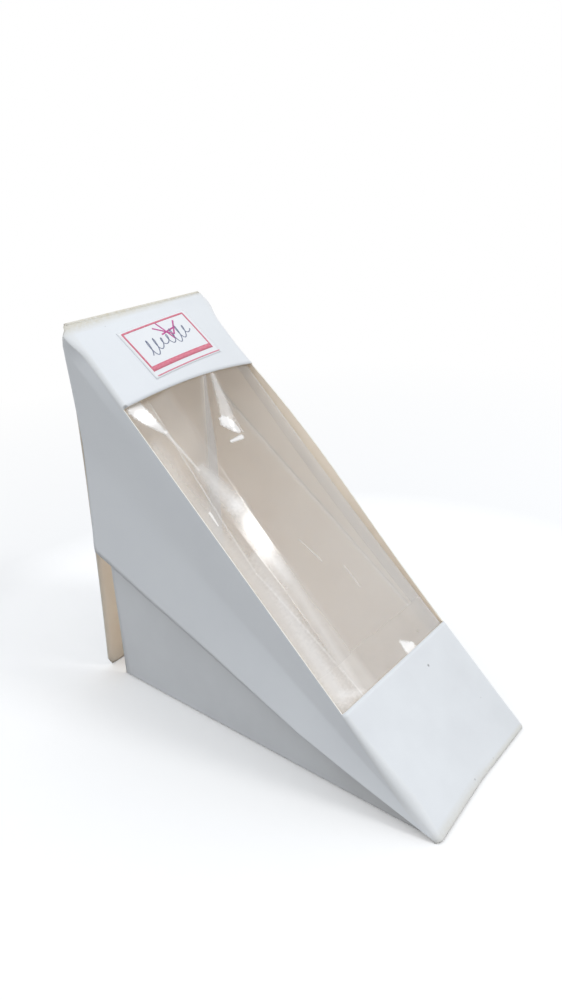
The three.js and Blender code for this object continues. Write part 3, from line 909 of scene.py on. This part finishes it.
def buildLabel():
    points = []
    for down in spaced(-label["length"] / 2, label["length"] / 2, label["rows"]):
        for across in spaced(-label["width"] / 2, label["width"] / 2, label["columns"]):
            points.append(labelPoint(across, down, label["thickness"] / 2))
    faces = gridFaces(label["rows"] + 1, label["columns"] + 1)
    return thicken("label_paper", points, faces, label["thickness"])


labelBoard = makeBoard("label_stock", {
    "Colour": srgb(240, 243, 246), "Patch Colour": srgb(236, 238, 243), "Worn Colour": srgb(230, 226, 222),
    "Patch Scale": 120.0, "Patch Amount": 0.4, "Fibre Scale": 2500.0, "Fibre Amount": 0.2,
    "Roughness": 0.55, "bump": 0.3, "gloss": 0.3,
})
labelPaper = buildLabel()
labelPaper.data.materials.append(labelBoard)
for face in labelPaper.data.polygons:
    face.material_index = 0
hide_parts("price_label")
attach(labelPaper, "carton")


def makeInk(name, colour, paleColour, amount):
    material, nodes, links, shader = newMaterial(name)
    tree = material.node_tree
    place = nodes.new("ShaderNodeTexCoord").outputs["Object"]
    uneven = rampRange(tree, noiseNode(tree, place, ink["unevenScale"], 4.0, 0.7), 0.35, 0.75)
    pale = mathNode(tree, "MULTIPLY", uneven, amount)
    links.new(mixColour(tree, pale, colour, paleColour), shader.inputs["Base Color"])
    rough = mathNode(tree, "MULTIPLY_ADD", uneven, ink["unevenRoughness"], c=ink["roughness"])
    links.new(rough, shader.inputs["Roughness"])
    shader.inputs["Specular IOR Level"].default_value = ink["gloss"]
    return material


redInk = makeInk("red_print", srgb(220, 112, 134), srgb(236, 176, 190), 0.6)
blueInk = makeInk("blue_pen", srgb(104, 112, 140), srgb(170, 176, 196), 0.7)
pinkInk = makeInk("pink_pen", srgb(198, 74, 150), srgb(226, 150, 196), 0.6)


# A flat ribbon of ink along each stroke: the strokes are poly curves, width and height are inputs
def inkTree(material):
    tree = bpy.data.node_groups.new("inkRibbon_" + material.name, "GeometryNodeTree")
    identifiers = []
    for label, kind in (("Geometry", "Geometry"), ("Line Width", "Float"), ("Ink Height", "Float")):
        socket = tree.interface.new_socket(name=label, in_out="INPUT", socket_type="NodeSocket" + kind)
        identifiers.append(socket.identifier)
    tree.interface.new_socket(name="Geometry", in_out="OUTPUT", socket_type="NodeSocketGeometry")
    start = tree.nodes.new("NodeGroupInput")
    end = tree.nodes.new("NodeGroupOutput")
    profile = tree.nodes.new("GeometryNodeCurvePrimitiveQuadrilateral")
    sweep = tree.nodes.new("GeometryNodeCurveToMesh")
    sweep.inputs["Fill Caps"].default_value = True
    upright = tree.nodes.new("GeometryNodeSetCurveNormal")
    upright.mode = "Z_UP"
    realize = tree.nodes.new("GeometryNodeRealizeInstances")
    paint = tree.nodes.new("GeometryNodeSetMaterial")
    paint.inputs["Material"].default_value = material
    for output, socket in (
        (start.outputs["Line Width"], profile.inputs["Width"]),
        (start.outputs["Ink Height"], profile.inputs["Height"]),
        (start.outputs["Geometry"], upright.inputs["Curve"]),
        (upright.outputs["Curve"], sweep.inputs["Curve"]),
        (profile.outputs["Curve"], sweep.inputs["Profile Curve"]),
        (sweep.outputs["Mesh"], realize.inputs["Geometry"]),
        (realize.outputs["Geometry"], paint.inputs["Geometry"]),
        (paint.outputs["Geometry"], end.inputs["Geometry"]),
    ):
        tree.links.new(output, socket)
    return tree, *identifiers[1:]


def densify(stroke):
    dense = []
    for (ax, ay), (bx, by) in zip(stroke, stroke[1:]):
        count = max(1, int(math.hypot(bx - ax, by - ay) / ink["step"]))
        dense += [(lerp(ax, bx, i / count), lerp(ay, by, i / count)) for i in range(count)]
    return dense + [stroke[-1]]


# Strokes are (across, down) on the label, from its centre
def inkPiece(name, material, strokes, width):
    curve = bpy.data.curves.new(name + "_path", "CURVE")
    curve.dimensions = "3D"
    for stroke in strokes:
        dense = densify(stroke)
        spline = curve.splines.new("POLY")
        spline.points.add(len(dense) - 1)
        for point, (across, down) in zip(spline.points, dense):
            point.co = (across, down, 0, 1)
    path = addObject(name + "_path", curve)
    tree, widthId, heightId = inkTree(material)
    modifier = path.modifiers.new("ribbon", "NODES")
    modifier.node_group = tree
    modifier[widthId] = float(width)
    modifier[heightId] = float(ink["height"])
    bpy.context.view_layer.update()
    evaluated = path.evaluated_get(bpy.context.evaluated_depsgraph_get())
    mesh = bpy.data.meshes.new_from_object(evaluated)
    path.modifiers.clear()
    bpy.data.objects.remove(path)
    middle = label["thickness"] + ink["gap"] + ink["height"] / 2
    for vertex in mesh.vertices:
        across, down, up = vertex.co
        vertex.co = labelPoint(across, down, middle + up) * mm
    mesh.flip_normals()
    mesh.name = name
    piece = addObject(name, mesh)
    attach(piece, "carton")


shiftX, shiftY = ink["frameShift"]
leftLine = shiftX - ink["frameWidth"] / 2
rightLine = shiftX + ink["frameWidth"] / 2
topLine = shiftY - ink["frameLength"] / 2
footLine = shiftY + ink["frameLength"] / 2
underline = footLine + ink["underlineGap"]
frameStroke = [(leftLine, footLine), (leftLine, topLine), (rightLine, topLine), (rightLine, footLine)]
barStroke = [(leftLine - ink["barMore"], footLine), (rightLine + ink["barMore"], footLine)]
underlineStroke = [(leftLine - ink["underlineMore"], underline), (label["width"] / 2, underline)]
inkPiece("label_frame", redInk, [frameStroke], ink["line"])
inkPiece("label_bar", redInk, [barStroke], ink["bar"])
inkPiece("label_underline", redInk, [underlineStroke], ink["underline"])
loops = []
for step in range(scribble["steps"]):
    turn = step * scribble["turnStep"]
    swing = math.sin(turn * scribble["swingRate"] + scribble["swingStart"])
    tall = scribble["loopHeight"] + scribble["heightSwing"] * swing
    loopX = scribble["startX"] + scribble["advance"] * step + scribble["loopWidth"] * math.sin(turn)
    loopY = scribble["startY"] - scribble["climb"] * step + tall * math.cos(turn + scribble["lean"])
    loops.append((loopX, loopY))
inkPiece("pen_scribble", blueInk, [loops], scribble["width"])
inkPiece("pen_strikes", pinkInk, strikes["strokes"], strikes["width"])
print("label made")


# Floor, light and camera: distances in metres
studio = {
    "floorSize": 8.0, "floorUnder": srgb(96, 92, 87), "floorSeen": srgb(250, 250, 250),
    "fadeStart": 0.14, "fadeEnd": 0.42, "nearGlow": 0.1, "keyAim": (0, 0, 0.05),
    "keyFrom": (0.24, -0.62, 0.75), "keyDistance": 1.25, "keySize": 0.3, "keyPower": 2.9,
    "worldStrength": 0.91, "worldColour": (0.955, 0.975, 1.0, 1.0), "behindFilm": srgb(158, 149, 140),
}
# The camera's place and aim in millimetres, its roll in degrees
camera = {"place": (-161.35, -132.92, 167.48), "aim": (3.61, 10.16, 67.87), "roll": -3.593, "lens": 28.504}


# 1 where the eye sees the floor or the sky directly or in a reflection, 0 behind the film and for other rays
def seenDirectly(tree):
    path = tree.nodes.new("ShaderNodeLightPath")
    seen = mathNode(tree, "MAXIMUM", path.outputs["Is Camera Ray"], path.outputs["Is Glossy Ray"])
    seen = mathNode(tree, "MAXIMUM", seen, path.outputs["Is Transmission Ray"])
    behind = mathNode(tree, "GREATER_THAN", path.outputs["Transparent Depth"], 0.5)
    return mathNode(tree, "MULTIPLY", seen, mathNode(tree, "SUBTRACT", 1.0, behind))


def buildFloor():
    half = studio["floorSize"] / 2
    mesh = bpy.data.meshes.new("floor")
    corners = [(-half, -half, 0), (half, -half, 0), (half, half, 0), (-half, half, 0)]
    mesh.from_pydata(corners, [], [(0, 1, 2, 3)])
    floor = addObject("floor", mesh)
    material, nodes, links, shader = newMaterial("studio_floor")
    tree = material.node_tree
    seen = seenDirectly(tree)
    away = nodes.new("ShaderNodeVectorMath")
    away.operation = "LENGTH"
    links.new(nodes.new("ShaderNodeTexCoord").outputs["Object"], away.inputs[0])
    far = rampRange(tree, away.outputs["Value"], studio["fadeStart"], studio["fadeEnd"])
    glow = mathNode(tree, "MULTIPLY", seen, far)
    direct = nodes.new("ShaderNodeLightPath").outputs["Is Camera Ray"]
    # Rays that do not see the floor directly: bounce light meets floorUnder, and the eye looking through the
    # film meets behindFilm, painted shade the colour of the pack's shaded inside
    hidden = mixColour(tree, direct, studio["floorUnder"], studio["behindFilm"])
    lit = mixColour(tree, seen, hidden, studio["floorSeen"])
    links.new(mixColour(tree, glow, lit, (0, 0, 0, 1)), shader.inputs["Base Color"])
    shader.inputs["Emission Color"].default_value = (1, 1, 1, 1)
    near = mathNode(tree, "MULTIPLY", seen, studio["nearGlow"])
    links.new(mathNode(tree, "MAXIMUM", glow, near), shader.inputs["Emission Strength"])
    shader.inputs["Roughness"].default_value = 0.9
    shader.inputs["Specular IOR Level"].default_value = 0.0
    mesh.materials.append(material)


def buildKey():
    aim = Vector(studio["keyAim"])
    lamp = bpy.data.lights.new("key", "AREA")
    lamp.shape = "DISK"
    lamp.size = studio["keySize"]
    lamp.energy = studio["keyPower"]
    key = addObject("key", lamp)
    key.location = aim + Vector(studio["keyFrom"]).normalized() * studio["keyDistance"]
    key.rotation_euler = (aim - key.location).to_track_quat("-Z", "Y").to_euler()


def buildWorld():
    world = bpy.data.worlds.new("studio")
    bpy.context.scene.world = world
    world.use_nodes = True
    tree = world.node_tree
    background = tree.nodes["Background"]
    seen = seenDirectly(tree)
    colour = mixColour(tree, seen, studio["worldColour"], (1.0, 1.0, 1.0, 1.0))
    tree.links.new(colour, background.inputs["Color"])
    level = studio["worldStrength"]
    strength = mathNode(tree, "MULTIPLY_ADD", seen, 1 - level, c=level)
    tree.links.new(strength, background.inputs["Strength"])


def buildCamera():
    lens = bpy.data.cameras.new("camera")
    lens.sensor_width = 36
    lens.lens = camera["lens"]
    lens.clip_start = 0.01
    view = addObject("camera", lens)
    place = Vector(camera["place"]) * mm
    look = Vector(camera["aim"]) * mm - place
    roll = Matrix.Rotation(math.radians(camera["roll"]), 3, "Z")
    turned = look.to_track_quat("-Z", "Y").to_matrix() @ roll
    view.location = place
    view.rotation_euler = turned.to_euler()
    bpy.context.scene.camera = view


buildFloor()
buildKey()
buildWorld()
buildCamera()
bpy.context.scene.view_settings.view_transform = "Standard"
print("studio made")
